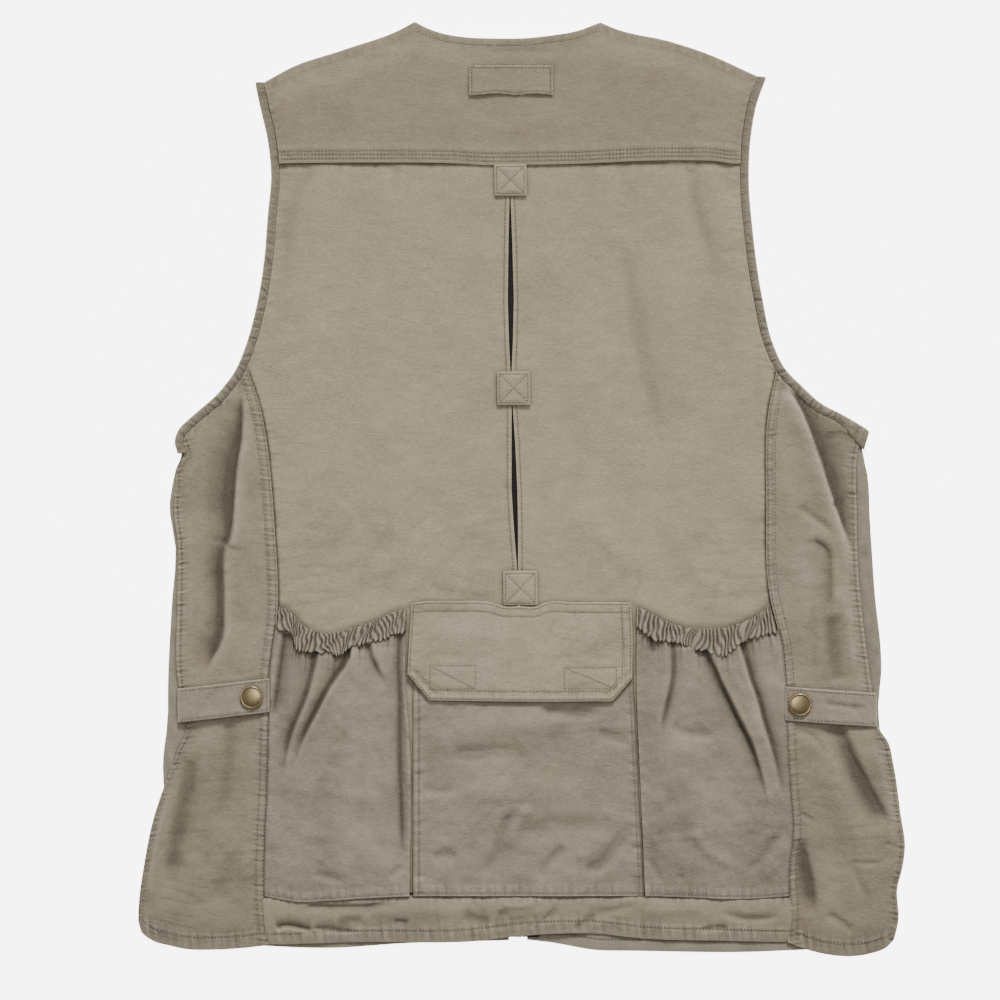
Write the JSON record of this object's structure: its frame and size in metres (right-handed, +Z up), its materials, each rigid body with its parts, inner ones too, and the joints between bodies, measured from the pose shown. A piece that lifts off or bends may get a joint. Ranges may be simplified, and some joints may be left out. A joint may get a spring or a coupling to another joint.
{
  "type": "utility vest",
  "caption": "Sleeveless khaki canvas utility vest laid flat with its back up, with a centre vent, gathered side pockets, a flapped cargo pocket and snapped waist straps.",
  "frame": {"origin": "on the surface that the vest lies on, under the middle of its box", "axes": "+Y up the garment to its neck, +X to the right as seen from above, +Z up out of the surface to the back of the garment"},
  "size_m": [0.5994, 0.7305, 0.0136],
  "materials": {
    "canvas": "washed cotton canvas, matt, fine plain weave",
    "binding": "cotton bias binding, matt, puckered",
    "black_mesh": "black knitted mesh",
    "snap_brass": "brushed antique brass",
    "zip_tape": "dark woven zip tape",
    "zip_metal": "dark coated metal"
  },
  "bodies": {
    "root": {"yoke": "canvas", "back_left": "canvas", "back_right": "canvas", "side_panel_left": "canvas", "side_panel_right": "canvas", "hem_band": "canvas", "vent_mesh": "black_mesh", "pocket_centre": "canvas", "pocket_flap": "canvas", "pocket_left": "canvas", "pocket_right": "canvas", "casing_left": "canvas", "casing_right": "canvas", "tab_top": "canvas", "tab_middle": "canvas", "tab_bottom": "canvas", "neck_patch": "canvas", "strap_left": "canvas", "strap_right": "canvas", "snap_left": "snap_brass", "snap_right": "snap_brass", "armhole_binding_left": "binding", "armhole_binding_right": "binding", "front_left": "canvas", "front_right": "canvas", "zip_tape_left": "zip_tape", "zip_tape_right": "zip_tape", "zip_chain": "zip_metal", "zip_end_box": "zip_metal", "zip_slider": "zip_metal"}
  },
  "joints": []
}
